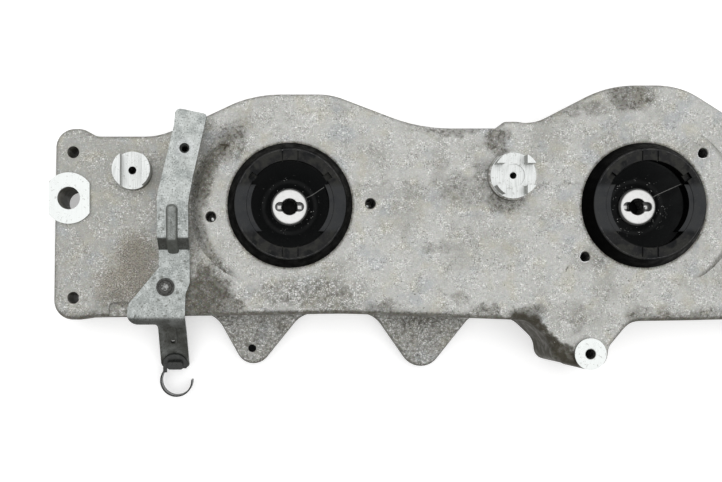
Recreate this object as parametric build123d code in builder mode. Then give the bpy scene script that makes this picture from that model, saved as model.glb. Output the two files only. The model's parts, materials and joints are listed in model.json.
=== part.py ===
from build123d import *
from math import atan2, cos, degrees, hypot, radians
import os

os.makedirs("parts", exist_ok=True)

# Places in plan, from the axis of the left end bore
mount_x = 165.0
mount_y = -6.0
mount_spacing = 262.0
right_mount_x = mount_x + mount_spacing
mid_x = mount_x + mount_spacing / 2

# Heights of the casting above its underside rims
deck_height = 43.0
flange_height = 36.0
end_pad_height = 38.0
ear_bottom = 6.0
ear_top = 14.0

# Casting sections
wall = 5.5
deck_thickness = 6.0
edge_round = 5.0
rib_thickness = 4.0
rib_foot = 8.0
rib_rise = 48.0
hub_wall = 8.2
ramp_start_x = 99.0
ramp_length = 29.0
ramp_round = 40.0

# Outline in plan
edge_x = -10.6
lobe_radius = 14.3
lobe_top_y = 52.8
lobe_bottom_y = -91.0
flange_top_y = 47.1
flange_bottom_y = -89.5
belly_y = -86.3
flange_neck_x = 66.0
left_crest_y = 77.1
right_crest_y = 83.8
waist_y = 51.8
knob_x = 331.0
knob_height = 5.0
knob_drop = 1.0

# Raised plateau around each mount
plateau_radius = 63.5
plateau_foot = 13.5
plateau_sink = 0.5

# Holes and bosses of the casting
corner_hole_radius = 4.5
corner_boss_radius = 10.0
corner_hole_x = 3.0
corner_hole_top_y = 34.5
corner_hole_bottom_y = -74.5
end_bore_radius = 8.5
end_pad_radius = 19.2
end_pad_outer_x = -14.8
end_pad_inner_x = 15.6
tapped_radius = 3.4
tapped_depth = 20.0
tapped_boss_radius = 8.0
tapped_chamfer = 0.9
slot_boss_x = 48.4
slot_boss_y = 19.8
slot_boss_radius = 14.0
slot_boss_height = 50.0
slot_floor_height = 43.0
slot_width = 16.0
slot_hole_radius = 3.0
cross_boss_x = 329.2
cross_boss_y = 15.5
cross_boss_radius = 16.3
cross_boss_foot_radius = 18.3
cross_boss_height = 55.0
cross_floor_height = 47.0
cross_hole_radius = 2.5
cross_spot_radius = 8.5
cross_spot_depth = 0.6
lug_x = 386.7
lug_y = -116.0
lug_boss_radius = 11.7
lug_boss_height = 45.5
spot_x = 325.7
spot_y = -84.6
spot_radius = 4.5

relief_x = 29.6
relief_y = -77.9
relief_length = 30.0
relief_depth = 2.0
relief_round = 4.0

# Low ears on the lower skirt
ear_root_y = -86.5
ear_root_round = 20.0
ear_edge_round = 3.5
ear_seam = 0.1
left_ear_tip = (137.5, -112.0)
left_ear_tip_radius = 13.6
left_ear_root = (107.8, 175.5)
left_ear_hole = (136.5, -113.7)
left_ear_hole_radius = 3.1
right_ear_tip = (267.8, -112.2)
right_ear_tip_radius = 15.5
right_ear_root = (231.0, 308.0)

# Mounts pressed into the hubs
bore_radius = 46.3
press_gap = 0.02
can_wall = 2.2
can_height = 40.0
can_lip = 2.0
can_lip_radius = 38.0
ring_top = 53.0
ring_top_radius = 40.7
ring_inner_radius = 31.0
ring_foot_radius = 33.5
ring_tab_width = 11.3
ring_groove = 1.0
ring_notch_width = 5.0
ring_notch_angle = 36.0
ring_notch_radius = 33.0
ring_pad_radius = 28.6
ring_pad_width = 34.0
ring_pad_shift = -3.0
ring_pad_bottom = 44.0
core_radius = 14.1
core_face_radius = 12.8
core_top = 33.0
core_bottom = 15.0
core_hole_radius = 6.0
core_hole_depth = 15.5
key_slot_length = 22.0
key_slot_width = 7.3
key_slot_depth = 4.5
rubber_skin = 1.5
rubber_waist_radius = 20.0
rubber_waist_height = 26.0
cup_sheet = 1.2
diaphragm_sheet = 1.2
diaphragm_bead = 2.8
channel_plate_thickness = 5.0
channel_radius = 36.0
channel_width = 5.0
channel_depth = 3.0
decoupler_radius = 15.0
decoupler_thickness = 2.0
plate_port_radius = 2.2
plate_port_circle = 9.0

# Bracket plate: folded sheet, screw and cable clip
sheet = 2.5
strip_rise = 10.0
strip_top_y = 66.0
strip_boss_radius = 9.0
strip_hole_x = 87.5
strip_hole_y = 35.4
strip_hole_radius = 3.75
strip_thread_radius = 2.5
joggle_top_y = -29.0
joggle_bottom_y = -37.5
fold_y = -88.5
lip_y = -94.8
knee_y = -97.0
knee_z = 24.0
strip_end_y = -129.2
strip_left_x = 65.2
strip_right_x = 87.2
strip_end_z = 4.2
bead_x = 78.3
bead_width = 8.5
bead_height = 2.0
bead_top_y = -4.0
strip_bead_x = 75.8
strip_bead_width = 6.6
strip_bead_length = 17.0
drain_y = -108.0
drain_length = 4.2
drain_width = 2.8
screw_x = 72.3
screw_y = -66.5
screw_radius = 3.0
screw_head_radius = 6.8
screw_length = 20.0
screw_play = 0.3
screw_flange = 1.2
screw_dome_radius = 5.3
screw_head_height = 3.3
recess_radius = 2.1
recess_depth = 2.2
clip_x = 76.5
clip_foot_radius = 9.4
clip_y = -125.2
clip_foot_thickness = 2.2
clip_block_length = 12.0
clip_block_width = 7.0
clip_block_height = 4.5
band_x = 77.4
band_y = -139.0
band_radius = 11.5
band_thickness = 1.2
band_start = 140.0
clip_neck_width = 3.0
clip_neck_bottom = 9.5
clip_neck_reach = 3.5
band_turn = 223.0
band_bottom = 2.0
band_top = 12.0


def keep(piece, name):
    """Label a finished piece and write it out."""
    piece.part.label = name
    export_step(piece.part, f"parts/{name}.step")


def mirrored(corners):
    """The same corners on the other end of the carrier, in reverse order."""
    return [(2 * mid_x - x, y, radius) for x, y, radius in reversed(corners)]


def outline_corners():
    """Corners of the carrier seen from above, clockwise, each with its radius."""
    end_top = [
        (edge_x, lobe_top_y, lobe_radius),
        (10.0, lobe_top_y, 14.0),
        (20.0, flange_top_y, 12.0),
        (flange_neck_x, flange_top_y, 50.0),
    ]
    end_bottom = [
        (16.0, flange_bottom_y, 12.0),
        (8.0, lobe_bottom_y, 12.0),
        (edge_x - 2.0, lobe_bottom_y, lobe_radius),
    ]
    middle_top = [
        (mount_x - 25.5, left_crest_y, 100.0),
        (mount_x + 30.7, left_crest_y, 50.0),
        (mid_x - 34.0, waist_y, 130.0),
        (knob_x - 12.0, waist_y, 6.0),
        (knob_x - 6.5, waist_y + knob_height, 4.5),
        (knob_x + 3.0, waist_y + knob_height, 8.0),
        (knob_x + 9.0, waist_y + knob_height - knob_drop, 20.0),
        (knob_x + 19.0, waist_y + knob_height, 30.0),
        (right_mount_x - 24.7, right_crest_y, 80.0),
        (right_mount_x + 25.0, right_crest_y, 60.0),
    ]
    middle_bottom = [
        (lug_x + 31.6, flange_bottom_y - 2.5, 16.0),
        (lug_x + 15.8, lug_y + 5.0, 12.0),
        (lug_x + 13.3, lug_y - 14.5, 12.0),
        (lug_x - 26.7, lug_y - 5.2, 9.0),
        (lug_x - 28.2, lug_y + 9.0, 15.0),
        (lug_x - 44.7, flange_bottom_y - 1.7, 15.0),
        (mount_x + 40.0, belly_y, 300.0),
    ]
    return (
        end_top + middle_top + mirrored(end_top)
        + mirrored(end_bottom) + middle_bottom + end_bottom
    )


def outline_face():
    """Face inside the carrier's outline."""
    corners = outline_corners()
    with BuildSketch() as outline:
        with BuildLine():
            FilletPolyline(
                [(x, y) for x, y, radius in corners],
                radius=[radius for x, y, radius in corners],
                close=True,
            )
        make_face()
    return outline.sketch


def side_profile(drop):
    """Side view of the deck: end flanges, ramps and the level middle, lowered by drop."""
    far = 60.0
    low = flange_height - drop
    high = deck_height - drop
    ramp_top_x = ramp_start_x + ramp_length
    with BuildSketch(Plane.XZ) as profile:
        with BuildLine():
            FilletPolyline(
                (edge_x - far, 0),
                (edge_x - far, low),
                (ramp_start_x, low),
                (ramp_top_x, high),
                (2 * mid_x - ramp_top_x, high),
                (2 * mid_x - ramp_start_x, low),
                (2 * mid_x - edge_x + far, low),
                (2 * mid_x - edge_x + far, 0),
                radius=[0, 0, ramp_round, ramp_round, ramp_round, ramp_round, 0, 0],
                close=True,
            )
        make_face()
    return profile.sketch


def half_section(centre, corners, radii):
    """Solid turned about the upright axis through centre, from (radius, height) corners."""
    plane = Plane(origin=(*centre, 0), x_dir=(1, 0, 0), z_dir=(0, -1, 0))
    with BuildPart() as piece:
        with BuildSketch(plane):
            with BuildLine():
                FilletPolyline(corners, radius=radii, close=True)
            make_face()
        revolve(axis=Axis((*centre, 0), (0, 0, 1)))
    return piece.part


def ear(tip, tip_radius, root):
    """Low ear that narrows from its root on the skirt to a round tip, rounded on top."""
    middle = ((root[0] + root[1]) / 2, ear_root_y)
    with BuildSketch() as taper:
        with Locations(tip):
            Circle(tip_radius)
        with Locations(middle):
            Rectangle(root[1] - root[0], ear_seam, align=(Align.CENTER, Align.MIN))
        make_hull()
    with BuildSketch() as outline:
        add(taper.sketch)
        with Locations(middle):
            Rectangle(
                root[1] - root[0] + 4 * ear_root_round,
                ear_edge_round + 1,
                align=(Align.CENTER, Align.MIN),
            )
        seam = outline.vertices().filter_by_position(
            Axis.Y, ear_root_y - ear_seam / 2, ear_root_y + ear_seam / 2
        )
        fillet(seam.sort_by(Axis.X)[1:-1], ear_root_round)
    with BuildPart() as tongue:
        extrude(Plane.XY.offset(ear_bottom) * outline.sketch, amount=ear_top - ear_bottom)
        top = edges().group_by(Axis.Z)[-1]
        fillet(top.filter_by(lambda edge: edge.center().Y < ear_root_y + ear_seam), ear_edge_round)
    return tongue.part


def rib_runs():
    """Start and end of each rib: along the middle, across, and out from each hub."""
    runs = [((0, mount_y), (2 * mid_x, mount_y))]
    ends = (slot_boss_x, 2 * mid_x - slot_boss_x)
    for x in (mid_x, *ends, mount_x, right_mount_x):
        runs.append(((x, -depth_of_plan), (x, depth_of_plan)))
    for (x, y), end_x in zip(mounts, ends):
        for far_x in (end_x, mid_x):
            for rise in (-rib_rise, rib_rise):
                runs.append(((x, y), (far_x, y + rise)))
                runs.append(((x, y), ((x + far_x) / 2, y + 1.7 * rise)))
    return runs


def rib_bars():
    """Ribs seen from above, one bar for each run."""
    with BuildSketch() as bars:
        for start, end in rib_runs():
            run = Vector(*end) - Vector(*start)
            with Locations((Vector(*start) + Vector(*end)) / 2):
                Rectangle(run.length, rib_thickness, rotation=degrees(atan2(run.Y, run.X)))
    return bars.sketch


mounts = ((mount_x, mount_y), (right_mount_x, mount_y))
hub_radius = bore_radius + hub_wall
can_outer_radius = bore_radius - press_gap
can_inner_radius = can_outer_radius - can_wall
strip_bottom = flange_height + strip_rise
depth_of_plan = right_crest_y - band_y + band_radius
cup_top = can_lip + cup_sheet
plate_bottom = cup_top + diaphragm_bead
plate_top = plate_bottom + channel_plate_thickness
tapped_holes = [
    (mount_x - 58.5, mount_y - 8.5),
    (mount_x + 59.6, mount_y + 1.2),
    (right_mount_x - 43.6, mount_y - 38.3),
    (right_mount_x + 43.6, mount_y + 38.3),
]
end_holes = [
    (x, y)
    for x in (corner_hole_x, 2 * mid_x - corner_hole_x)
    for y in (corner_hole_top_y, corner_hole_bottom_y)
]


# Hollow underside of the casting: inside the walls, less hubs, ribs and bosses
with BuildPart() as hollow:
    extrude(side_profile(deck_thickness), amount=depth_of_plan, both=True)
    with BuildSketch():
        add(outline_face())
        offset(amount=-wall)
    extrude(amount=deck_height, mode=Mode.INTERSECT)
    with BuildSketch():
        with Locations(*mounts):
            Circle(hub_radius)
        with Locations(*end_holes):
            Circle(corner_boss_radius)
        with Locations((0, 0), (2 * mid_x, 0)):
            Circle(end_pad_radius)
        with Locations((lug_x, lug_y)):
            Circle(lug_boss_radius)
    extrude(amount=deck_height, mode=Mode.SUBTRACT)
    with BuildSketch(Plane.XY.offset(flange_height - tapped_depth)):
        with Locations(*tapped_holes):
            Circle(tapped_boss_radius)
        with Locations((strip_hole_x, strip_hole_y), (screw_x, screw_y)):
            Circle(tapped_boss_radius)
        with Locations((slot_boss_x, slot_boss_y), (cross_boss_x, cross_boss_y)):
            Circle(tapped_boss_radius)
    extrude(amount=deck_height, mode=Mode.SUBTRACT)
    extrude(Plane.XY.offset(rib_foot) * rib_bars(), amount=deck_height, mode=Mode.SUBTRACT)

# Carrier casting: deck with rounded edge, plateaus, bosses, ears and bores
with BuildPart() as carrier_casting:
    extrude(side_profile(0), amount=depth_of_plan, both=True)
    extrude(outline_face(), amount=deck_height, mode=Mode.INTERSECT)
    walls = faces().filter_by(lambda face: abs(face.normal_at().Z) < 0.01)
    rim = walls.edges().filter_by(Axis.Z, reverse=True)
    fillet(rim.filter_by(lambda edge: edge.center().Z > ear_top), edge_round)

    # Raised plateau around each mount, with a hollow foot that fades into the ramps
    for mount in mounts:
        with BuildSketch(Plane(origin=(*mount, 0), x_dir=(1, 0, 0), z_dir=(0, -1, 0))):
            with BuildLine():
                foot = (plateau_radius + plateau_foot, flange_height - plateau_sink)
                crown = (plateau_radius, deck_height)
                Polyline((0, deck_height), (0, rib_foot), (foot[0], rib_foot), foot)
                Spline(foot, crown, tangents=((-1, 0), (-1, 0)))
                Line(crown, (0, deck_height))
            make_face()
        revolve(axis=Axis((*mount, 0), (0, 0, 1)))
    add(hollow.part, mode=Mode.SUBTRACT)

    # End pads with a flat on each side of the bore
    for x, side in ((0, 1), (2 * mid_x, -1)):
        with BuildSketch():
            with Locations((x, 0)):
                Circle(end_pad_radius)
            with Locations((x + side * (end_pad_outer_x + end_pad_inner_x) / 2, 0)):
                Rectangle(
                    end_pad_inner_x - end_pad_outer_x, 2 * end_pad_radius, mode=Mode.INTERSECT
                )
        extrude(amount=end_pad_height)

    # Low ears on the lower skirt
    add(ear(left_ear_tip, left_ear_tip_radius, left_ear_root))
    add(ear(right_ear_tip, right_ear_tip_radius, right_ear_root))

    # Bosses that stand on the deck and the flange
    with BuildSketch():
        with Locations((lug_x, lug_y)):
            Circle(lug_boss_radius)
    extrude(amount=lug_boss_height)
    with BuildSketch(Plane.XY.offset(rib_foot)):
        with Locations((spot_x, spot_y)):
            Circle(spot_radius)
    extrude(amount=deck_height - rib_foot)
    with BuildSketch(Plane.XY.offset(flange_height - deck_thickness)):
        with Locations((slot_boss_x, slot_boss_y)):
            Circle(slot_boss_radius)
    extrude(amount=slot_boss_height - flange_height + deck_thickness)
    with BuildSketch(Plane.XY.offset(flange_height - deck_thickness)):
        with Locations((strip_hole_x, strip_hole_y)):
            Circle(strip_boss_radius)
    extrude(amount=strip_bottom - flange_height + deck_thickness)
    with BuildSketch(Plane.XY.offset(deck_height - deck_thickness)):
        with Locations((cross_boss_x, cross_boss_y)):
            Circle(cross_boss_foot_radius)
    extrude(amount=cross_floor_height - deck_height + deck_thickness)
    with BuildSketch(Plane.XY.offset(cross_floor_height)):
        with Locations((cross_boss_x, cross_boss_y)):
            Circle(cross_boss_radius)
    extrude(amount=cross_boss_height - cross_floor_height)

    # Shallow relief on the lower edge of the left end flange
    with BuildSketch(Plane.XY.offset(flange_height - relief_depth)):
        with Locations((relief_x, relief_y)):
            Rectangle(
                relief_length, 2 * edge_round + relief_length, align=(Align.MIN, Align.MAX)
            )
        fillet(vertices().group_by(Axis.Y)[-1], relief_round)
    extrude(amount=deck_height, mode=Mode.SUBTRACT)

    # Slots across the two machined bosses
    with BuildSketch(Plane.XY.offset(slot_floor_height)):
        with Locations((slot_boss_x, slot_boss_y)):
            Rectangle(slot_width, 3 * slot_boss_radius)
    extrude(amount=slot_boss_height, mode=Mode.SUBTRACT)
    with BuildSketch(Plane.XY.offset(cross_floor_height)):
        with Locations((cross_boss_x, cross_boss_y)):
            Rectangle(slot_width, 3 * cross_boss_radius)
            Rectangle(3 * cross_boss_radius, slot_width)
    extrude(amount=cross_boss_height, mode=Mode.SUBTRACT)

    # Bores and holes, each drilled down from its own face
    with Locations(*[(x, y, deck_height) for x, y in mounts]):
        Hole(bore_radius)
    with Locations(*[(x, 0, end_pad_height) for x in (0, 2 * mid_x)]):
        Hole(end_bore_radius)
    with Locations(*[(x, y, flange_height) for x, y in end_holes]):
        Hole(corner_hole_radius)
    with Locations(*[(x, y, deck_height) for x, y in tapped_holes]):
        CounterSinkHole(tapped_radius, tapped_radius + tapped_chamfer, tapped_depth, 90)
    with Locations((lug_x, lug_y, lug_boss_height)):
        CounterSinkHole(tapped_radius, tapped_radius + tapped_chamfer, tapped_depth, 90)
    with Locations((slot_boss_x, slot_boss_y, slot_floor_height)):
        Hole(slot_hole_radius, tapped_depth)
    with Locations((cross_boss_x, cross_boss_y, cross_floor_height)):
        CounterBoreHole(cross_hole_radius, cross_spot_radius, cross_spot_depth, tapped_depth)
    with Locations((strip_hole_x, strip_hole_y, strip_bottom)):
        Hole(strip_thread_radius, tapped_depth)
    with Locations((screw_x, screw_y, flange_height)):
        Hole(screw_radius + press_gap, screw_length - sheet + 1)
    with Locations((left_ear_hole[0], left_ear_hole[1], ear_top)):
        Hole(left_ear_hole_radius)

keep(carrier_casting, "carrier_casting")


def stop_ring(centre):
    """Ring on top of a mount: grooved tabs along Y, thicker pads along X and two notches."""
    with BuildPart() as ring:
        add(half_section(
            centre,
            [
                (can_outer_radius, can_height),
                (can_outer_radius, deck_height),
                (ring_top_radius, ring_top),
                (ring_inner_radius, ring_top),
                (ring_foot_radius, can_height),
            ],
            [0, 0, 2.5, 1.5, 0],
        ))
        with BuildSketch(Plane.XY.offset(ring_top - ring_groove)):
            with Locations(centre):
                with GridLocations(ring_tab_width, 0, 2, 1):
                    Rectangle(ring_groove, 2 * ring_top_radius - ring_groove)
        extrude(amount=ring_groove, mode=Mode.SUBTRACT)
        with BuildSketch(Plane.XY.offset(ring_top - 3 * ring_groove)):
            with Locations(centre):
                for angle in (ring_notch_angle, 180 - ring_notch_angle):
                    with PolarLocations(ring_notch_radius, 1, angle):
                        Rectangle(6 * ring_groove, ring_notch_width)
        extrude(amount=3 * ring_groove, mode=Mode.SUBTRACT)
        with BuildSketch(Plane.XY.offset(ring_pad_bottom)):
            with Locations(centre):
                Circle(ring_foot_radius - ring_groove / 2)
                Circle(ring_pad_radius, mode=Mode.SUBTRACT)
            with Locations((centre[0], centre[1] + ring_pad_shift)):
                Rectangle(2 * ring_top_radius, ring_pad_width, mode=Mode.INTERSECT)
        extrude(amount=ring_top - ring_groove / 2 - ring_pad_bottom)
    return ring


def rubber_spring(centre):
    """Rubber funnel bonded between the can and the core, with a closed skin under the core."""
    with BuildPart() as spring:
        add(half_section(
            centre,
            [
                (0, core_bottom - rubber_skin),
                (0, core_bottom),
                (core_radius, core_bottom),
                (core_radius, core_top - 3 * rubber_skin),
                (rubber_waist_radius, rubber_waist_height),
                (ring_foot_radius, can_height),
                (can_inner_radius, can_height),
                (can_inner_radius, plate_top),
                (can_inner_radius - 2 * can_wall, plate_top),
                (can_inner_radius - 3 * can_wall, core_bottom + 4),
                (rubber_waist_radius + 8, core_bottom + 5),
                (rubber_waist_radius - 3, core_bottom - rubber_skin),
            ],
            [0, 0, 0, 0, 4, 3, 0, 0, 0, 4, 4, 2],
        ))
    return spring


def mount_core(centre):
    """Aluminium core with a blind tapped hole and a key slot across its top."""
    with BuildPart() as core:
        add(half_section(
            centre,
            [
                (0, core_bottom),
                (core_radius, core_bottom),
                (core_radius, core_top - core_radius + core_face_radius),
                (core_face_radius, core_top),
                (0, core_top),
            ],
            [0, 1, 0, 0, 0],
        ))
        with Locations((*centre, core_top)):
            CounterSinkHole(core_hole_radius, core_hole_radius + 0.6, core_hole_depth, 90)
        with BuildSketch(Plane.XY.offset(core_top)):
            with Locations(centre):
                SlotOverall(key_slot_length, key_slot_width)
        extrude(amount=-key_slot_depth, mode=Mode.SUBTRACT)
    return core


def channel_plate(centre):
    """Plate with the ring channel, and a pocket with ports for the decoupler."""
    pocket_depth = channel_plate_thickness - rubber_skin
    with BuildPart() as plate:
        with BuildSketch(Plane.XY.offset(plate_bottom)):
            with Locations(centre):
                Circle(can_inner_radius)
                with PolarLocations(plate_port_circle, 6):
                    Circle(plate_port_radius, mode=Mode.SUBTRACT)
        extrude(amount=channel_plate_thickness)
        with BuildSketch(Plane.XY.offset(plate_top)):
            with Locations(centre):
                Circle(channel_radius + channel_width / 2)
                Circle(channel_radius - channel_width / 2, mode=Mode.SUBTRACT)
                with Locations((channel_radius, 0)):
                    Rectangle(2 * channel_width, channel_width, mode=Mode.SUBTRACT)
        extrude(amount=-channel_depth, mode=Mode.SUBTRACT)
        with BuildSketch(Plane.XY.offset(plate_top)):
            with Locations(centre):
                Circle(decoupler_radius)
        extrude(amount=-pocket_depth, mode=Mode.SUBTRACT)
    return plate


def decoupler(centre):
    """Loose rubber disc that rests in the pocket of the channel plate."""
    with BuildPart() as disc:
        with BuildSketch(Plane.XY.offset(plate_bottom + rubber_skin)):
            with Locations(centre):
                Circle(decoupler_radius - rubber_skin / 3)
        extrude(amount=decoupler_thickness)
    return disc


def diaphragm(centre):
    """Thin rubber bellows with a thick rim held between the cup and the channel plate."""
    dish = cup_top - rubber_skin / 3
    raised = plate_bottom - diaphragm_sheet - ring_groove / 5
    with BuildPart() as bellows:
        add(half_section(
            centre,
            [
                (0, dish),
                (rubber_waist_radius, dish),
                (rubber_waist_radius + 8, raised),
                (can_lip_radius, raised),
                (can_lip_radius, cup_top),
                (can_inner_radius, cup_top),
                (can_inner_radius, plate_bottom),
                (can_lip_radius, plate_bottom),
                (can_lip_radius, raised + diaphragm_sheet),
                (rubber_waist_radius + 7.6, raised + diaphragm_sheet),
                (rubber_waist_radius - 0.4, dish + diaphragm_sheet),
                (0, dish + diaphragm_sheet),
            ],
            [0, 2, 2, 0, 0, 0, 0, 0, 0, 3, 3, 0],
        ))
    return bellows


def base_cup(centre):
    """Pressed cup whose flange rests on the lip of the can."""
    floor = can_lip - rubber_skin
    with BuildPart() as cup:
        add(half_section(
            centre,
            [
                (0, floor),
                (can_lip_radius - 5, floor),
                (can_lip_radius - 2, can_lip),
                (can_inner_radius, can_lip),
                (can_inner_radius, cup_top),
                (can_lip_radius - 2.5, cup_top),
                (can_lip_radius - 5.5, floor + cup_sheet),
                (0, floor + cup_sheet),
            ],
            [0, 1, 1, 0, 0, 1, 1, 0],
        ))
    return cup


def outer_can(centre):
    """Steel can pressed into the hub, with a lip rolled in at its lower end."""
    with BuildPart() as can:
        add(half_section(
            centre,
            [
                (can_lip_radius, 0),
                (can_outer_radius, 0),
                (can_outer_radius, can_height),
                (can_inner_radius, can_height),
                (can_inner_radius, can_lip),
                (can_lip_radius, can_lip),
            ],
            [0.6, 2, 0, 0, 0, 0.6],
        ))
    return can


def strip_plane(y):
    """Plane on the upper face of the sloping strip, with its origin at the given y."""
    fall = (knee_z - strip_end_z) / (knee_y - strip_end_y)
    length = hypot(1, fall)
    height = strip_end_z + (y - strip_end_y) * fall + sheet * length
    return Plane(origin=(0, y, height), x_dir=(1, 0, 0), z_dir=(0, -fall, 1))


# The eight pieces of each mount
for side, centre in zip(("left", "right"), mounts):
    keep(outer_can(centre), f"outer_can_{side}")
    keep(stop_ring(centre), f"stop_ring_{side}")
    keep(rubber_spring(centre), f"rubber_spring_{side}")
    keep(mount_core(centre), f"core_{side}")
    keep(channel_plate(centre), f"channel_plate_{side}")
    keep(decoupler(centre), f"decoupler_{side}")
    keep(diaphragm(centre), f"diaphragm_{side}")
    keep(base_cup(centre), f"base_cup_{side}")

# Bead pressed up across the joggle of the bracket plate
with BuildPart() as joggle_bead:
    with BuildSketch(Plane.YZ.offset(bead_x)):
        with BuildLine():
            FilletPolyline(
                (bead_top_y, strip_bottom + sheet / 2),
                (bead_top_y - 2 * bead_height, strip_bottom + sheet + bead_height),
                (joggle_top_y - 3, strip_bottom + sheet + bead_height),
                (joggle_bottom_y - 5, flange_height + sheet / 2),
                (joggle_bottom_y, flange_height + sheet / 2),
                (joggle_top_y, strip_bottom + sheet / 2),
                radius=[0, 4, 5, 0, 0, 0],
                close=True,
            )
        make_face()
    extrude(amount=bead_width / 2, both=True)
    sides = faces().filter_by(Axis.X).edges()
    ridge = sides.filter_by(lambda edge: edge.center().Z > strip_bottom + sheet + bead_height / 2)
    fillet(ridge, bead_height)

# Bracket plate, folded from one sheet: side view of the folds, cut to the plan outline
with BuildPart() as bracket_plate:
    with BuildSketch(Plane.YZ):
        with BuildLine():
            underside = FilletPolyline(
                (strip_top_y + 10, strip_bottom),
                (joggle_top_y, strip_bottom),
                (joggle_bottom_y, flange_height),
                (fold_y, flange_height),
                (knee_y, knee_z),
                (strip_end_y, strip_end_z),
                radius=[3, 3, 6, 5],
            )
            offset(underside, amount=sheet, side=Side.RIGHT)
        make_face()
    extrude(amount=depth_of_plan, both=True)
    with BuildSketch():
        with BuildLine():
            FilletPolyline(
                (81.0, 65.2),
                (104.2, 60.3),
                (93.8, 14.9),
                (90.2, -4.2),
                (90.4, -63.5),
                (87.2, -71.7),
                (strip_right_x - 0.8, lip_y),
                (strip_right_x, strip_end_y),
                (strip_left_x, strip_end_y),
                (strip_left_x, lip_y),
                (43.2, lip_y),
                (44.1, -80.0),
                (67.3, -52.0),
                (67.4, 0.9),
                (79.9, 52.2),
                radius=[4, 2.5, 30, 30, 6, 6, 2, 3, 4, 2, 7, 6, 4, 20, 20],
                close=True,
            )
        make_face()
    extrude(amount=depth_of_plan, mode=Mode.INTERSECT)
    add(joggle_bead.part)
    with BuildSketch(strip_plane(drain_y)):
        with Locations((strip_bead_x, strip_bead_length / 2 - drain_width)):
            SlotOverall(strip_bead_length, strip_bead_width, rotation=90)
    extrude(amount=bead_height / 2)
    with BuildSketch(strip_plane(drain_y)):
        with Locations((strip_bead_x, 0)):
            SlotOverall(drain_length, drain_width)
    extrude(amount=2 * sheet, both=True, mode=Mode.SUBTRACT)
    with Locations((strip_hole_x, strip_hole_y, strip_bottom + sheet)):
        Hole(strip_hole_radius, 2 * sheet)
    with Locations((screw_x, screw_y, flange_height + sheet)):
        Hole(screw_radius + screw_play, 2 * sheet)
keep(bracket_plate, "bracket_plate")

# Flange button screw with a six-lobe recess
seat = flange_height + sheet
with BuildPart() as bracket_screw:
    add(half_section(
        (screw_x, screw_y),
        [
            (0, seat - screw_length),
            (screw_radius, seat - screw_length),
            (screw_radius, seat),
            (screw_head_radius, seat),
            (screw_head_radius, seat + screw_flange),
            (screw_dome_radius, seat + screw_flange),
            (screw_dome_radius, seat + screw_head_height),
            (0, seat + screw_head_height),
        ],
        [0, 0.8, 0, 0.3, 0.5, 0.3, 1.6, 0],
    ))
    with BuildSketch(Plane.XY.offset(seat + screw_head_height)):
        with Locations((screw_x, screw_y)):
            Circle(recess_radius)
            with PolarLocations(recess_radius, 6):
                Circle(recess_radius / 3)
    extrude(amount=-recess_depth, mode=Mode.SUBTRACT)
keep(bracket_screw, "bracket_screw")

# Cable clip: foot clamped on the end of the strip, and an open band beyond it
with BuildPart() as cable_clip:
    with BuildSketch(strip_plane(clip_y)):
        with Locations((clip_x, 0)):
            Circle(clip_foot_radius)
        with Locations((clip_x, strip_end_y - clip_y)):
            Rectangle(
                3 * clip_foot_radius,
                3 * clip_foot_radius,
                align=(Align.CENTER, Align.MIN),
                mode=Mode.INTERSECT,
            )
    extrude(amount=clip_foot_thickness)
    with BuildSketch(strip_plane(clip_y)):
        with Locations((clip_x, 0)):
            RectangleRounded(clip_block_length, clip_block_width, 2)
    extrude(amount=clip_block_height)
    with BuildSketch(Plane.XY.offset(clip_neck_bottom)):
        with Locations((band_x + band_radius * cos(radians(band_start)), strip_end_y + clip_neck_reach)):
            Rectangle(clip_neck_width, 2 * clip_neck_reach, align=(Align.CENTER, Align.MAX))
    extrude(amount=band_top - clip_neck_bottom)
    with BuildSketch(Plane.XY.offset(band_bottom)):
        with BuildLine():
            band = CenterArc((band_x, band_y), band_radius, band_start, band_turn)
            offset(band, amount=band_thickness, side=Side.RIGHT)
        make_face()
    extrude(amount=band_top - band_bottom)
keep(cable_clip, "cable_clip")
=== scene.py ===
import bpy
import json
import math
from collections import namedtuple
from bpy.props import FloatProperty, FloatVectorProperty, IntProperty, PointerProperty
from bpy.types import NodeSocket, Operator, Panel, PropertyGroup
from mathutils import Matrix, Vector


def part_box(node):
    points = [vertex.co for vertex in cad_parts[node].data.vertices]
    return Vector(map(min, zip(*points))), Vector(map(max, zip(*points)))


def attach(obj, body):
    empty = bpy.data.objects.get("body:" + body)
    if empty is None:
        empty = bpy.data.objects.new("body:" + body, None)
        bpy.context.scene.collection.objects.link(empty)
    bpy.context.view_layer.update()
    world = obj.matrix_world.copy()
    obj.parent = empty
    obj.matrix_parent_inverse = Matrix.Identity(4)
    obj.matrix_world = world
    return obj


bl_info = {
    "name": "Engine Mount Bracket",
    "version": (1, 0, 0),
    "blender": (4, 5, 0),
    "location": "View3D > Sidebar > Mount Bracket",
    "description": "Finishes an engine mount bracket piece by piece and lights it from above",
    "category": "Object",
}

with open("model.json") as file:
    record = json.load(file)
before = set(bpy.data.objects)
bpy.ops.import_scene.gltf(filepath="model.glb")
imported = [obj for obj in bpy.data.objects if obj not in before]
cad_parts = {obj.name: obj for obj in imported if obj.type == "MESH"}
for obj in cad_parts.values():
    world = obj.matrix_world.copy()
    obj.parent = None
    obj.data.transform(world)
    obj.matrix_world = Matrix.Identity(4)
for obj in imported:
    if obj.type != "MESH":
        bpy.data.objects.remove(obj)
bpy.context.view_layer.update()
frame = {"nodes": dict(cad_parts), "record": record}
holes = {mount["name"]: Vector(mount["pos_m"]) for mount in frame["record"]["mounts"]}
mm = 0.001

# Middle of the bracket along X, to the nearest tenth of a metre
middle_x = 0.3

# Pitch of the thread for each radius of a tapped hole, both in millimetres
pitches = {2.5: 1.0, 3.0: 1.0, 3.4: 1.25, 6.0: 2.0}

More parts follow.
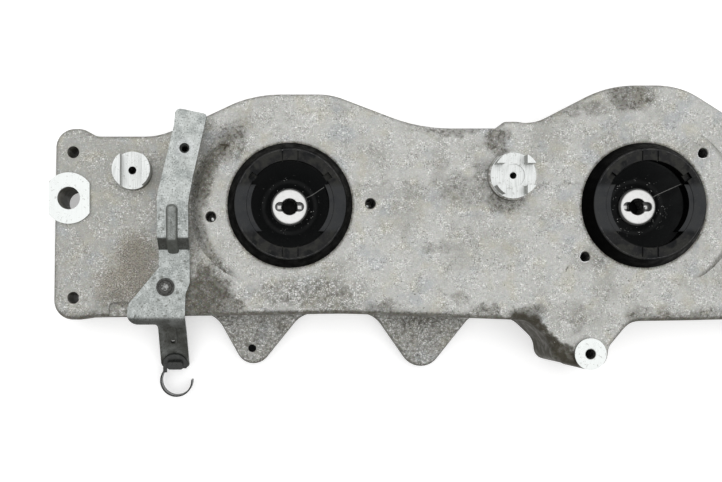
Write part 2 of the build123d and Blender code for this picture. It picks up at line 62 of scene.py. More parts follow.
# Colours of details on the casting
warm_tint = (0.45, 0.43, 0.34)
cool_tint = (0.36, 0.385, 0.41)
brown_dirt = (0.27, 0.245, 0.2)
old_oil = (0.05, 0.043, 0.032)
# Black strokes, and painted shade on the wall beside the lug
black_marks_and_shade = (0.028, 0.024, 0.015)
fresh_cut = (0.87, 0.9, 0.885)
cutter_mark = (0.46, 0.48, 0.465)
hole_shadow = (0.03, 0.034, 0.034)
rim_highlight = (0.95, 0.96, 0.95)

# Colours of details on the mounts
worn_ring = (0.026, 0.026, 0.0235)
oily_ring = (0.006, 0.0065, 0.007)
ring_pad = (0.042, 0.044, 0.047)
ring_dust = (0.09, 0.09, 0.08)
worn_lip = (0.06, 0.06, 0.06)
oil_film = (0.008, 0.009, 0.009)
core_cut = (0.5, 0.5, 0.5)
core_bevel_shade = (0.14, 0.14, 0.135)
core_slot_shade = (0.07, 0.07, 0.07)
core_hole_shade = (0.004, 0.004, 0.004)
can_scuff = (0.16, 0.16, 0.16)
inner_rubber = (0.012, 0.012, 0.012)
inner_bloom = (0.03, 0.03, 0.03)

# Colours of details on the sheet bracket, its screw and its clip
dull_zinc = (0.32, 0.34, 0.33)
zinc_frost = (0.68, 0.71, 0.7)
zinc_shade = (0.2, 0.21, 0.2)
zinc_spark = (0.78, 0.81, 0.8)
zinc_pit = (0.10, 0.105, 0.09)
zinc_spot = (0.08, 0.08, 0.065)
zinc_scratch = (0.16, 0.16, 0.14)
zinc_halo = (0.7, 0.71, 0.72)
bead_shade = (0.085, 0.09, 0.08)
screw_wear = (0.04, 0.04, 0.037)
screw_highlight = (0.55, 0.56, 0.55)
clip_scuff = (0.06, 0.065, 0.055)

# Colours of the stage
ear_hole_shadow = (0.01, 0.01, 0.01)
white = (1, 1, 1)


def colour_property(name, description, default):
    """A colour that the user may change."""
    return FloatVectorProperty(
        name=name, description=description, subtype="COLOR", size=3, min=0, max=1, default=default
    )


def length_property(name, description, default):
    """A length in metres that the user may change."""
    return FloatProperty(name=name, description=description, unit="LENGTH", default=default, precision=4)


def share_property(name, description, default):
    """A share from none to all that the user may change."""
    return FloatProperty(
        name=name, description=description, subtype="FACTOR", min=0, max=1, default=default
    )


class CastingSettings(PropertyGroup):
    """Colours and grain of the aluminium casting."""

    skin: colour_property("Cast skin", "Colour of the clean cast aluminium", (0.49, 0.492, 0.47))
    shade: colour_property("Dull skin", "Colour of the duller patches of the skin", (0.37, 0.37, 0.343))
    spark: colour_property("Bright grain", "Colour of the brightest grain of the skin", (0.86, 0.86, 0.84))
    # Colour of the pits, and also of the painted shade on milled walls where they step down
    pit_and_step_shade: colour_property("Pits", "Colour of the small dark pits", (0.15, 0.15, 0.13))
    # The grime colour is also the colour of the painted shade laid with the dirt
    grime_and_shade: colour_property("Grime", "Colour of the oily dirt", (0.066, 0.061, 0.042))
    milled: colour_property("Milled metal", "Colour of the machined faces", (0.8, 0.82, 0.81))
    # The hole colour is painted shade on the walls of drilled holes
    bore: colour_property("Holes", "Colour of the walls of drilled holes", (0.012, 0.012, 0.011))
    grain: length_property("Grain", "Size of the sparkling grain of the skin", 1.0 * mm)
    patch: length_property("Patches", "Size of the cloudy patches of the skin", 30 * mm)
    # This share scales the painted shade on the casting as well as the dirt
    dirt_and_shading: share_property("Dirt", "How much dirt lies on the casting", 1.0)


class MountSettings(PropertyGroup):
    """Colours of the rubber mounts."""

    rubber: colour_property("Rubber", "Colour of the oily rubber spring", (0.003, 0.003, 0.0032))
    ring: colour_property("Stop ring", "Colour of the worn rubber ring on top", (0.012, 0.012, 0.0125))
    # The flank colour is painted shade on the sloping side of the ring
    flank: colour_property("Ring flank", "Colour of the sloping side of the ring", (0.002, 0.002, 0.002))
    core: colour_property("Core", "Colour of the turned aluminium core", (0.83, 0.83, 0.82))
    can: colour_property("Can", "Colour of the coated steel can", (0.05, 0.05, 0.055))
    lip_radius: length_property("Lip radius", "Middle radius of the lip round the top of a ring", 39.6 * mm)
    lip_width: length_property("Lip width", "Width of the lip round the top of a ring", 1.1 * mm)
    lip_height: length_property("Lip height", "Height of the middle of the lip", 52.6 * mm)
    crumb: colour_property("Crumbs", "Colour of the crumbs that cling to the rubber", (0.6, 0.6, 0.58))
    oil: share_property("Oil", "How wet the rubber spring looks", 0.7)


class ThreadSettings(PropertyGroup):
    """Turns of thread in the tapped holes."""

    metal: colour_property("Thread", "Colour of the oily thread", (0.05, 0.05, 0.048))
    crest: colour_property("Thread crest", "Colour of the rubbed crests of the thread", (0.35, 0.35, 0.34))
    depth: share_property("Depth", "How far a turn stands out of the wall, as a share of the pitch", 0.13)
    steps: IntProperty(name="Steps", description="Steps in each turn of thread", min=8, default=32)


class SheetSettings(PropertyGroup):
    """Colours of the folded sheet bracket, its screw and its clip."""

    zinc: colour_property("Zinc", "Colour of the zinc-plated sheet", (0.52, 0.545, 0.53))
    tint: colour_property("Zinc tint", "Colour of the thicker patches of the plating", (0.36, 0.385, 0.375))
    # Colour of the painted shade on the faces that slope down and on the strip
    shade_and_black: colour_property("Soot", "Colour of the dirt on the faces that slope down", (0.012, 0.011, 0.006))
    screw: colour_property("Screw", "Colour of the screw", (0.085, 0.085, 0.08))
    clip: colour_property("Clip", "Colour of the moulded cable clip", (0.016, 0.017, 0.016))


class StageSettings(PropertyGroup):
    """Camera, floor and lights."""

    axis_x: length_property("Camera X", "Point of the bracket straight under the camera", 150.3 * mm)
    axis_y: length_property("Camera Y", "Point of the bracket straight under the camera", -72.4 * mm)
    height: length_property("Camera height", "Height of the camera above the floor", 643 * mm)
    lens: FloatProperty(
        name="Focal length", description="Focal length of the lens", unit="CAMERA", default=40.43
    )
    shift_x: FloatProperty(name="Shift X", description="Sideways shift of the lens", default=0.126)
    shift_y: FloatProperty(name="Shift Y", description="Upward shift of the lens", default=0.0748)
    floor: colour_property("Floor", "Colour of the floor", (0.85, 0.85, 0.85))
    sky: FloatProperty(name="Room light", description="Strength of the light from all round", default=0.3)
    glow: share_property("Floor glow", "How much the floor shines by itself where the camera sees it", 0.4)
    panel_power: FloatProperty(
        name="Panel power", description="Power of the light panel overhead", unit="POWER", default=67
    )
    panel_size: length_property("Panel size", "Side of the light panel overhead", 4.5)


Parts = namedtuple("Parts", "x y z")


class Finish:
    """A material under construction: its shader and the nodes that feed it."""

    def __init__(self, name):
        self.material = bpy.data.materials.new(name)
        self.material.use_nodes = True
        self.tree = self.material.node_tree
        self.shader = self.tree.nodes["Principled BSDF"]
        self.place = self.add("ShaderNodeTexCoord").outputs["Object"]
        self.x, self.y, self.z = self.apart(self.place)
        self.faces_x, self.faces_y, self.faces_up = self.apart(self.place.node.outputs["Normal"])

    def add(self, kind, **values):
        """A new node with the given settings."""
        node = self.tree.nodes.new(kind)
        for name, value in values.items():
            setattr(node, name, value)
        return node

    def feed(self, socket, value):
        """Link an output to a socket, or set the socket to a constant."""
        if isinstance(value, NodeSocket):
            self.tree.links.new(value, socket)
        elif hasattr(value, "__len__") and socket.type == "RGBA":
            socket.default_value = (*value[:3], 1)
        else:
            socket.default_value = value

    def apart(self, vector):
        """The X, Y and Z parts of a vector."""
        node = self.add("ShaderNodeSeparateXYZ")
        self.feed(node.inputs[0], vector)
        return Parts(*node.outputs)

    def work(self, operation, *values):
        """One step of arithmetic."""
        node = self.add("ShaderNodeMath", operation=operation)
        for socket, value in zip(node.inputs, values):
            self.feed(socket, value)
        return node.outputs[0]

    def product(self, *values):
        """All the values multiplied."""
        total = values[0]
        for value in values[1:]:
            total = self.work("MULTIPLY", total, value)
        return total

    def largest(self, *masks):
        """Where any of the masks is set."""
        total = masks[0]
        for mask in masks[1:]:
            total = self.work("MAXIMUM", total, mask)
        return total

    def gap(self, value, middle):
        """How far a value is from a middle one, on either side."""
        return self.work("ABSOLUTE", self.work("SUBTRACT", value, middle))

    def spread(self, value, low, high, start=0.0, end=1.0):
        """Map a value smoothly from low..high to start..end, and hold it there outside."""
        node = self.add("ShaderNodeMapRange", interpolation_type="SMOOTHSTEP")
        for socket, number in zip(node.inputs, (value, low, high, start, end)):
            self.feed(socket, number)
        return node.outputs[0]

    def mix(self, share, first, second):
        """Blend two colours."""
        node = self.add("ShaderNodeMix", data_type="RGBA")
        self.feed(node.inputs[0], share)
        self.feed(node.inputs[6], first)
        self.feed(node.inputs[7], second)
        return node.outputs[2]

    def noise(self, size, detail=3.0, stretch=(1, 1, 1), place=None, colour=False):
        """Noise whose lumps are about the given size in metres."""
        mapping = self.add("ShaderNodeMapping")
        self.feed(mapping.inputs["Vector"], place or self.place)
        mapping.inputs["Scale"].default_value = [1 / size / part for part in stretch]
        node = self.add("ShaderNodeTexNoise")
        self.feed(node.inputs["Vector"], mapping.outputs[0])
        self.feed(node.inputs["Scale"], 1.0)
        self.feed(node.inputs["Detail"], detail)
        return node.outputs["Color" if colour else "Fac"]

    def cells(self, size, place=None):
        """Distance to the nearest of scattered points, in cells of the given size."""
        node = self.add("ShaderNodeTexVoronoi")
        self.feed(node.inputs["Vector"], place or self.place)
        self.feed(node.inputs["Scale"], 1 / size)
        return node.outputs["Distance"]

    def warped(self, size, amount):
        """The place on the piece, pushed about by noise of the given size."""
        push = self.add("ShaderNodeVectorMath", operation="MULTIPLY_ADD")
        self.feed(push.inputs[0], self.noise(size, colour=True))
        self.feed(push.inputs[1], (2 * amount, 2 * amount, 2 * amount))
        self.feed(push.inputs[2], (-amount, -amount, -amount))
        total = self.add("ShaderNodeVectorMath", operation="ADD")
        self.feed(total.inputs[0], self.place)
        self.feed(total.inputs[1], push.outputs[0])
        return total.outputs[0]

    def radius(self, centre, stretch=(1, 1), place=None):
        """Distance from an upright axis, in metres, shrunk by stretch along X and Y."""
        shift = self.add("ShaderNodeVectorMath", operation="SUBTRACT")
        self.feed(shift.inputs[0], place or self.place)
        self.feed(shift.inputs[1], (centre[0], centre[1], 0))
        scale = self.add("ShaderNodeVectorMath", operation="MULTIPLY")
        self.feed(scale.inputs[0], shift.outputs[0])
        self.feed(scale.inputs[1], (1 / stretch[0], 1 / stretch[1], 0))
        length = self.add("ShaderNodeVectorMath", operation="LENGTH")
        self.feed(length.inputs[0], scale.outputs[0])
        return length.outputs["Value"]

    def turned(self, centre, angle):
        """The place turned about an upright axis through centre, which becomes the middle."""
        node = self.add("ShaderNodeVectorRotate", rotation_type="Z_AXIS")
        self.feed(node.inputs["Vector"], self.place)
        self.feed(node.inputs["Center"], (centre[0], centre[1], 0))
        self.feed(node.inputs["Angle"], math.radians(angle))
        shift = self.add("ShaderNodeVectorMath", operation="SUBTRACT")
        self.feed(shift.inputs[0], node.outputs[0])
        self.feed(shift.inputs[1], (centre[0], centre[1], 0))
        return shift.outputs[0]

    def bump(self, height, depth):
        """Raise the surface by a height from 0 to 1, depth in metres."""
        node = self.add("ShaderNodeBump")
        self.feed(node.inputs["Strength"], 1.0)
        self.feed(node.inputs["Distance"], depth)
        self.feed(node.inputs["Height"], height)
        self.feed(self.shader.inputs["Normal"], node.outputs[0])

    def set(self, **values):
        """Set or link sockets of the shader by name, with _ for a space."""
        for name, value in values.items():
            self.feed(self.shader.inputs[name.replace("_", " ")], value)

    def put_on(self, *names):
        """Give the material to the named nodes of the frame."""
        for name in names:
            slots = frame["nodes"][name].data.materials
            slots.clear()
            slots.append(self.material)


def both(name):
    """The names of the left and the right piece."""
    return f"{name}_left", f"{name}_right"


# Dirt seen on the casting, with painted shadow under and beside the sheet bracket and painted shade along
# the edge of the relief: centre X and Y, reach along X and Y in millimetres, and strength
stains = {
    "flange_patch": (53, -50, 15, 26, 0.3),
    "flange_corner": (34, -78, 16, 8, 0.35),
    # Painted shadow of the sheet bracket, with dirt, under it and beside it
    "under_bracket_shadow_and_dirt": (101, -75, 20, 26, 1.0),
    "beside_lip_shadow_and_dirt": (112, -79, 19, 12, 0.8),
    "beside_bracket_shadow_and_dirt": (93, -40, 8, 40, 0.5),
    "valley_top": (122, 40, 14, 15, 0.55),
    "cross_boss_top": (318, 42, 9, 11, 0.72),
    "cross_boss_side": (308, 14, 9, 14, 0.45),
    "cross_boss_foot": (323, -4, 16, 8, 0.6),
    "crease_patch": (290, 4, 19, 13, 0.42),
    "crease_left": (240, 3, 30, 6, 0.2),
    "waist_streak": (275, 28, 6, 20, 0.3),
    "waist_rim": (283, 50, 26, 4, 0.5),
    "diagonal_streak": (276, -37, 14, 4, 0.3),
    "lower_spot": (291, -73, 6, 5, 0.35),
    "crest_patch": (417, 74, 19, 11, 0.72),
    "right_crest_rim": (380, 66, 20, 5, 0.4),
    "lug_patch": (377, -91, 6, 10, 0.4),
    "right_patch": (386, -46, 16, 8, 0.3),
    "belly_patch": (232, -84, 12, 6, 0.55),
    "belly_rim": (196, -80, 26, 6, 0.4),
    "spot_left": (312, -84, 12, 5, 0.6),
    "spot_right": (342, -84, 12, 5, 0.6),
    "ear_root": (262, -92, 22, 7, 0.65),
    "under_mount": (178, -71, 46, 11, 0.45),
    # Painted shade along the edge of the relief
    "relief_edge_shade": (38, -79.5, 9, 3, 0.6),
    "flange_rim": (30, -88, 30, 4, 0.4),
}

# Dirt and painted shade round the crown of the left mount: inner, middle and outer radius, and where
# it starts and is full along Y, all in millimetres, and strength
valley_bands = (
    (56, 65, 83, -16, 5, 1.0),
    (62, 66.5, 71, -68, -50, 0.62),
)

# Brown dirt on the left flange: centre X and Y, and reach along X and Y, in millimetres
brown_patches = (
    (50, -48, 18, 21),
    (39, -65, 19, 15),
    (54, -62, 15, 23),
)

# Black strokes above the left mount: centre X and Y and reach in millimetres, and angle in degrees
black_strokes = (
    (116.3, 38.7, 4, 8),
    (117.5, 37.6, 3, -62),
)

# Milled faces: the hole in each, its reach round the hole and its lowest height, in millimetres
milled_faces = {
    "end_bore_left": (19.6, 36.4),
    "end_bore_right": (19.6, 36.4),
    "slot_boss_hole": (14.4, 42.6),
    "cross_boss_hole": (16.8, 46.2),
    "lug_thread": (12.1, 45.2),
}


class CastSkin(Finish):
    """The finish of the casting: cast skin, oily stains, painted shade and highlights, milled faces and
    drilled holes.
    """

    def __init__(self, settings):
        super().__init__("cast_aluminium")
        self.settings = settings

        # Grain of three sizes, a blend of the finer two, and the faces that look up
        self.fine = self.noise(settings.grain, 1)
        self.coarse = self.noise(2.2 * settings.grain, 2)
        self.mottle = self.noise(6 * settings.grain, 4)
        self.speckle = self.work("ADD", self.product(self.fine, 0.6), self.product(self.coarse, 0.4))
        self.level = self.spread(self.faces_up, 0.3, 0.8)

        # Places pushed about by noise, which give the dirt and the painted shade their ragged edges
        self.wandering = self.warped(9 * mm, 8 * mm)
        self.ragged = self.apart(self.wandering)
        self.slant = self.work("ADD", self.ragged.x, self.ragged.y)

    def blot(self, x, y, reach_x, reach_y):
        """Distance from a blot with a ragged edge, which is 1 at the reach, given in millimetres."""
        return self.radius((x * mm, y * mm), (reach_x * mm, reach_y * mm), self.wandering)

    def lug_wall(self):
        """Where the wall beside the lug is, which gets painted shade."""
        return self.product(
            self.spread(self.slant, 263 * mm, 255 * mm),
            self.spread(self.x, 320 * mm, 332 * mm),
            self.spread(self.y, -82 * mm, -88 * mm),
        )

    def valley(self):
        """Dirt and painted shade in the valley round the crown of the left mount."""
        away = self.radius(holes["core_thread_left"])
        bands = []
        for inner, middle, outer, start_y, full_y, strength in valley_bands:
            bands.append(self.product(
                self.spread(away, inner * mm, middle * mm),
                self.spread(away, outer * mm, middle * mm),
                self.spread(self.y, start_y * mm, full_y * mm),
                self.spread(self.x, 150 * mm, 112 * mm, 0, strength),
            ))
        return self.largest(*bands)

    def rim(self):
        """Dirt and painted shade along the lower rim of the deck, but hardly any on the lug."""
        lug = self.product(
            self.spread(self.slant, 255 * mm, 262 * mm),
            self.spread(self.ragged.x, 341 * mm, 349 * mm),
            self.spread(self.ragged.x, 418 * mm, 408 * mm),
        )
        return self.product(
            self.spread(self.ragged.y, -79 * mm, -89 * mm, 0, 0.65),
            self.spread(self.z, 33 * mm, 38 * mm),
            self.spread(lug, 0, 1, 1, 0.1),
        )

    def crease(self):
        """The faint dark line painted along the crease of the deck between the mounts."""
        return self.product(
            self.spread(self.gap(self.ragged.y, 9.4 * mm), 1.6 * mm, 0.4 * mm),
            self.spread(self.x, 208 * mm, 218 * mm),
            self.spread(self.x, 384 * mm, 374 * mm, 0, 0.3),
        )

    def dirt_and_shade(self):
        """How much oily staining and painted shade lies at each place."""
        dirt_and_shading = [self.valley(), self.rim(), self.crease(), self.lug_wall()]
        for *blot, strength in stains.values():
            dirt_and_shading.append(self.spread(self.blot(*blot), 1.3, 0.6, 0, strength))
        # Painted shade in a thin ring round the outside of each mount's bore
        for name in both("core_thread"):
            dirt_and_shading.append(self.spread(self.radius(holes[name]), 48.6 * mm, 46.4 * mm, 0, 0.8))

        # Painted shade on walls, more so on those that face the ears, and darker on all that lies low
        dirt_and_shading.append(self.spread(self.faces_up, 0.99, 0.6, 0, 0.55))
        dirt_and_shading.append(self.spread(self.faces_y, -0.05, -0.7, 0, 1.0))
        dirt_and_shading.append(self.spread(self.z, 35 * mm, 25 * mm, 0, 0.48))
        broken = self.spread(self.mottle, 0.25, 0.6, 0.8, 1.0)
        clean_spot = self.spread(self.radius((325.7 * mm, -84.6 * mm)), 4.4 * mm, 5.4 * mm, 0.25, 1)
        return self.product(self.largest(*dirt_and_shading), broken, clean_spot, self.settings.dirt_and_shading)

    def clean(self):
        """Colour of the clean skin, with duller clouds and warm and cool tints."""
        settings = self.settings
        clouds = self.spread(self.noise(settings.patch, 3), 0.45, 0.7)
        left_end = self.spread(self.x, 112 * mm, 84 * mm)
        warm = self.spread(self.noise(14 * mm, 2), 0.5, 0.7, 0, 0.5)
        cool = self.spread(self.noise(19 * mm, 2), 0.55, 0.7, 0, 0.5)
        colour = self.mix(self.largest(clouds, left_end), settings.skin, settings.shade)
        return self.mix(cool, self.mix(warm, colour, warm_tint), cool_tint)

    def dirtied_and_shaded(self, colour, dirt_and_shade):
        """Lay oily stains and painted shade over a colour, then bright and dark grain, black strokes,
        painted shade on the wall beside the lug, and pits.
        """
        settings = self.settings
        smooth = self.spread(self.noise(11 * mm, 3), 0.4, 0.6, 0.35, 1)
        lively = self.product(smooth, self.spread(self.level, 0, 1, 0.25, 1))
        patches = [self.spread(self.blot(*patch), 1.4, 0.5) for patch in brown_patches]
        on_top = self.spread(self.faces_up, 0.8, 0.95)
        brown = self.product(self.largest(*patches), on_top, settings.dirt_and_shading)
        colour = self.mix(self.product(brown, 0.75), colour, brown_dirt)
        colour = self.mix(dirt_and_shade, colour, settings.grime_and_shade)
        sparks = self.product(
            self.spread(self.speckle, 0.5, 0.7),
            self.spread(dirt_and_shade, 0, 1, 0.95, 0.25),
            self.spread(brown, 0, 1, 1, 0.45),
            lively,
        )
        colour = self.mix(sparks, colour, settings.spark)
        ears = self.product(
            self.spread(self.z, 35 * mm, 25 * mm, 0, 0.7), self.spread(self.y, -84 * mm, -90 * mm)
        )
        belly = self.spread(self.blot(182, -71, 50, 12), 1.2, 0.6)
        frosty = self.spread(self.speckle, 0.52, 0.66, 0, 0.7)
        frost = self.product(self.largest(ears, belly), frosty, self.level)
        colour = self.mix(frost, colour, settings.spark)
        pepper = self.product(self.spread(self.speckle, 0.5, 0.3, 0, 0.85), lively)
        colour = self.mix(pepper, colour, settings.pit_and_step_shade)
        colour = self.mix(0.07, colour, self.noise(1.6 * mm, 2, colour=True))
        blots = self.product(
            self.spread(self.coarse, 0.47, 0.36),
            self.spread(dirt_and_shade, 0.2, 0.6, 0, 0.6),
            self.spread(self.level, 0, 1, 0.3, 1),
        )
        crumbs = self.product(brown, self.spread(self.fine, 0.52, 0.38, 0, 0.45))
        colour = self.mix(self.largest(blots, crumbs), colour, old_oil)
        # Painted shade, near black, on the wall beside the lug, and the black strokes
        shade_and_black = [self.product(self.lug_wall(), self.spread(self.mottle, 0.35, 0.55, 0.55, 0.85))]
        for x, y, reach, angle in black_strokes:
            along = self.turned((x * mm, y * mm), angle)
            away = self.radius((0, 0), (reach * mm, 0.8 * mm), along)
            shade_and_black.append(self.spread(away, 1.2, 0.7, 0, 0.9))
        colour = self.mix(self.largest(*shade_and_black), colour, black_marks_and_shade)
        pits = self.product(
            self.spread(self.cells(7 * mm, self.wandering), 0.17, 0.08),
            self.spread(self.mottle, 0.5, 0.6),
            self.spread(self.y, 0, -60 * mm, 0.45, 0.9),
        )
        return self.mix(pits, colour, settings.pit_and_step_shade)

    def milling(self):
        """Where the faces are milled, and their colour, with painted shade on the walls where they step
        down.
        """
        settings = self.settings
        faces = []
        for name, (reach, low) in milled_faces.items():
            near = self.spread(self.radius(holes[name]), (reach + 0.1) * mm, reach * mm)
            faces.append(self.product(near, self.spread(self.z, (low - 0.2) * mm, low * mm)))
        slotted = self.largest(*[
            self.spread(self.radius(holes[name]), 18 * mm, 17 * mm, 0.15, 1)
            for name in ("slot_boss_hole", "cross_boss_hole")
        ])
        cuts = self.noise(1.2 * mm, 3, (0.5, 12, 1))
        marks = self.product(slotted, self.spread(cuts, 0.45, 0.65, 0, 0.45))
        nicks = self.spread(self.coarse, 0.62, 0.7, 0, 0.5)
        # Painted shade on the walls of the milled faces where they step down
        steps = self.spread(self.faces_up, 0.7, 0.2, 0, 0.75)
        colour = self.mix(slotted, fresh_cut, settings.milled)
        colour = self.mix(marks, colour, cutter_mark)
        colour = self.mix(nicks, colour, settings.shade)
        return self.largest(*faces), self.mix(steps, colour, settings.pit_and_step_shade)

    def drilling(self):
        """Where the walls of drilled holes are, with their painted shade, the tips left by the drill, and
        the painted highlights on the bright rims.
        """
        walls = []
        tips = []
        rims = []
        for name, place in holes.items():
            if "thread" in name or name.endswith("_hole"):
                away = self.radius(place)
                reach = 3.6 * mm if "thread" in name else 3.15 * mm
                walls.append(self.spread(away, reach + 0.5 * mm, reach))
                tips.append(self.spread(away, 1.3 * mm, 0.9 * mm))
            # Painted highlight, a crescent on the lower left of the rim of each right deck hole
            if name.startswith("deck_thread_right"):
                shifted = self.radius(place + Vector((1.1 * mm, 0.9 * mm, 0)))
                rims.append(self.product(
                    self.spread(self.radius(place), 4.3 * mm, 4 * mm),
                    self.spread(shifted, 3.9 * mm, 4.3 * mm),
                ))
        wall = self.product(self.largest(*walls), self.spread(self.faces_up, 0.9999, 0.98))
        tip = self.product(self.largest(*tips), self.spread(self.faces_up, 0.5, 0.9))
        return wall, tip, self.largest(*rims)


class BRACKET_OT_finish_casting(Operator):
    """Give the casting its speckled skin, milled faces, oily stains, and painted shade and highlights"""

    bl_idname = "bracket.finish_casting"
    bl_label = "Finish the casting"

    def execute(self, context):
        settings = context.scene.bracket_casting
        skin = CastSkin(settings)
        dirt_and_shade = skin.dirt_and_shade()
        milled, cut = skin.milling()
        wall, tip, rim = skin.drilling()
        # Painted shade on the boss top that shows through the hole in the sheet
        under_sheet = skin.product(
            skin.spread(skin.radius(holes["strip_thread"]), 4.4 * mm, 3.9 * mm),
            skin.spread(skin.z, 40 * mm, 44 * mm, 0, 0.93),
        )
        colour = skin.mix(milled, skin.dirtied_and_shaded(skin.clean(), dirt_and_shade), cut)
        colour = skin.mix(under_sheet, colour, hole_shadow)
        # Painted shade on the walls of drilled holes
        colour = skin.mix(wall, colour, settings.bore)
        colour = skin.mix(tip, colour, settings.milled)
        # Painted highlight on the rims of the right deck holes
        colour = skin.mix(rim, colour, rim_highlight)
        metal = skin.product(
            skin.spread(dirt_and_shade, 0, 0.8, 0.55, 0.1),
            skin.spread(wall, 0, 1, 1, 0),
            skin.spread(milled, 0, 1, 1, 0.6),
        )
        uneven = skin.spread(skin.mottle, 0.3, 0.7, 0.45, 0.6)
        rough = skin.work("ADD", uneven, skin.product(dirt_and_shade, 0.12))
        rough = skin.work("SUBTRACT", rough, skin.product(milled, 0.2))
        skin.set(
            Base_Color=colour,
            Metallic=skin.largest(tip, metal),
            Specular_IOR_Level=0.3,
            Roughness=skin.product(rough, skin.spread(tip, 0, 1, 1, 0.15)),
        )
        relief = skin.work("ADD", skin.fine, skin.product(skin.mottle, 1.5))
        skin.bump(skin.product(relief, skin.spread(milled, 0, 1, 1, 0.1)), 0.12 * mm)
        skin.put_on("carrier_casting")
        return {"FINISHED"}


class BRACKET_OT_finish_mounts(Operator):
    """Give both rubber mounts their oily rubber, worn rings and turned cores"""

    bl_idname = "bracket.finish_mounts"
    bl_label = "Finish the mounts"

    def execute(self, context):
        settings = context.scene.bracket_mounts
        self.finish_rings(settings)
        self.finish_springs(settings)
        self.finish_cores(settings)
        self.finish_cans(settings)
        self.finish_inside()
        return {"FINISHED"}

    def finish_rings(self, settings):
        """Stop rings: worn black rubber, with painted shade on the outer flank, paler on the side pads."""
        ring = Finish("worn_ring_rubber")
        wear = ring.noise(6 * mm, 5)
        dust = ring.noise(0.9 * mm, 3)
        # Painted shade on the sloping outer flank of the ring
        flank = ring.spread(ring.faces_up, 0.9, 0.65)
        pads = ring.product(
            ring.spread(ring.gap(ring.y, -9 * mm), 19 * mm, 14 * mm, 0, 0.6),
            ring.spread(ring.faces_up, 0.6, 0.9),
        )
        colour = ring.mix(ring.spread(wear, 0.4, 0.6), settings.ring, worn_ring)
        colour = ring.mix(ring.spread(ring.noise(11 * mm, 3), 0.5, 0.62), colour, oily_ring)
        colour = ring.mix(pads, colour, ring_pad)
        colour = ring.mix(ring.spread(dust, 0.62, 0.75, 0, 0.45), colour, ring_dust)
        ring.set(
            Base_Color=ring.mix(flank, colour, settings.flank),
            Metallic=flank,
            Roughness=ring.spread(wear, 0.3, 0.7, 0.5, 0.75),
            Specular_IOR_Level=0.13,
        )
        ring.bump(ring.work("ADD", wear, dust), 0.12 * mm)
        ring.put_on(*both("stop_ring"))

    def finish_springs(self, settings):
        """Rubber springs: wet with oil in patches, with crumbs round the core and a flash line."""
        rubber = Finish("oily_rubber")
        film = rubber.noise(9 * mm, 4)
        drops = rubber.cells(2.2 * mm, rubber.warped(3 * mm, 1.5 * mm))
        crumbs = []
        flashes = []
        for name in both("core_thread"):
            away = rubber.radius(holes[name])
            crumbs.append(rubber.product(
                rubber.spread(away, 13 * mm, 15 * mm), rubber.spread(away, 27 * mm, 16 * mm)
            ))
            along = rubber.apart(rubber.turned(holes[name], -29))
            flashes.append(rubber.product(
                rubber.spread(rubber.gap(along.y, 0), 0.36 * mm, 0.12 * mm),
                rubber.spread(along.x, 13 * mm, 16 * mm),
            ))
        scatter = rubber.product(
            rubber.spread(rubber.cells(1.3 * mm), 0.26, 0.15),
            rubber.spread(rubber.noise(3.5 * mm, 1), 0.57, 0.62),
            rubber.largest(*crumbs),
        )
        flash = rubber.product(rubber.largest(*flashes), 0.35)
        colour = rubber.mix(film, settings.rubber, oil_film)
        rubber.set(
            Base_Color=rubber.mix(rubber.largest(scatter, flash), colour, settings.crumb),
            Roughness=rubber.spread(film, 0.3, 0.65, 0.6, 0.6 - 0.3 * settings.oil),
            Specular_IOR_Level=0.12,
        )
        relief = rubber.work("ADD", rubber.spread(drops, 0.2, 0.3, 0.3, 0), scatter)
        rubber.bump(rubber.work("ADD", relief, flash), 0.15 * mm)
        rubber.put_on(*both("rubber_spring"))

    def finish_cores(self, settings):
        """Cores: turned aluminium, with fine rings on the face, and painted shade on the bevel, in the key
        slot and in the hole.
        """
        core = Finish("turned_core")
        cuts = core.noise(2 * mm, 3)
        away = core.work("MINIMUM", *[core.radius(holes[name]) for name in both("core_thread")])
        across = core.gap(core.y, holes["core_thread_left"].y)
        sides = core.largest(
            core.spread(across, 0.8 * mm, 1.7 * mm), core.spread(away, 8.6 * mm, 9.6 * mm)
        )
        slot = core.product(core.spread(core.z, 32.4 * mm, 31.5 * mm), sides, 0.92)
        colour = core.mix(core.spread(cuts, 0.5, 0.7, 0, 0.15), settings.core, core_cut)
        # Painted shade on the bevel
        colour = core.mix(core.spread(away, 11.6 * mm, 13.5 * mm, 0, 0.85), colour, core_bevel_shade)
        # Painted shade in the key slot
        colour = core.mix(slot, colour, core_slot_shade)
        # Painted shade in the hole, nearly black
        core.set(
            Base_Color=core.mix(core.spread(away, 6.5 * mm, 6.1 * mm), colour, core_hole_shade),
            Metallic=core.spread(away, 6 * mm, 6.6 * mm, 0, 0.6),
            Roughness=core.spread(cuts, 0.3, 0.7, 0.3, 0.45),
            Specular_IOR_Level=0.1,
        )

        # Rings 0.7 mm apart
        rings = core.work("SINE", core.product(away, 9000))
        core.bump(core.spread(rings, -1, 1), 0.01 * mm)
        core.put_on(*both("core"))

    def finish_cans(self, settings):
        """Cans and cups: dull coated steel."""
        can = Finish("coated_steel")
        scuff = can.noise(3 * mm, 4)
        can.set(
            Base_Color=can.mix(can.spread(scuff, 0.55, 0.75, 0, 0.5), settings.can, can_scuff),
            Metallic=0.5,
            Roughness=can.spread(scuff, 0.3, 0.7, 0.4, 0.6),
        )
        can.bump(scuff, 0.04 * mm)
        can.put_on(*both("outer_can"), *both("base_cup"))

    def finish_inside(self):
        """The hidden pieces inside: moulded black."""
        inner = Finish("moulded_inner_rubber")
        bloom = inner.noise(4 * mm, 4)
        inner.set(
            Base_Color=inner.mix(bloom, inner_rubber, inner_bloom),
            Roughness=inner.spread(bloom, 0.3, 0.7, 0.5, 0.7),
        )
        inner.bump(bloom, 0.05 * mm)
        inner.put_on(*both("diaphragm"), *both("decoupler"), *both("channel_plate"))


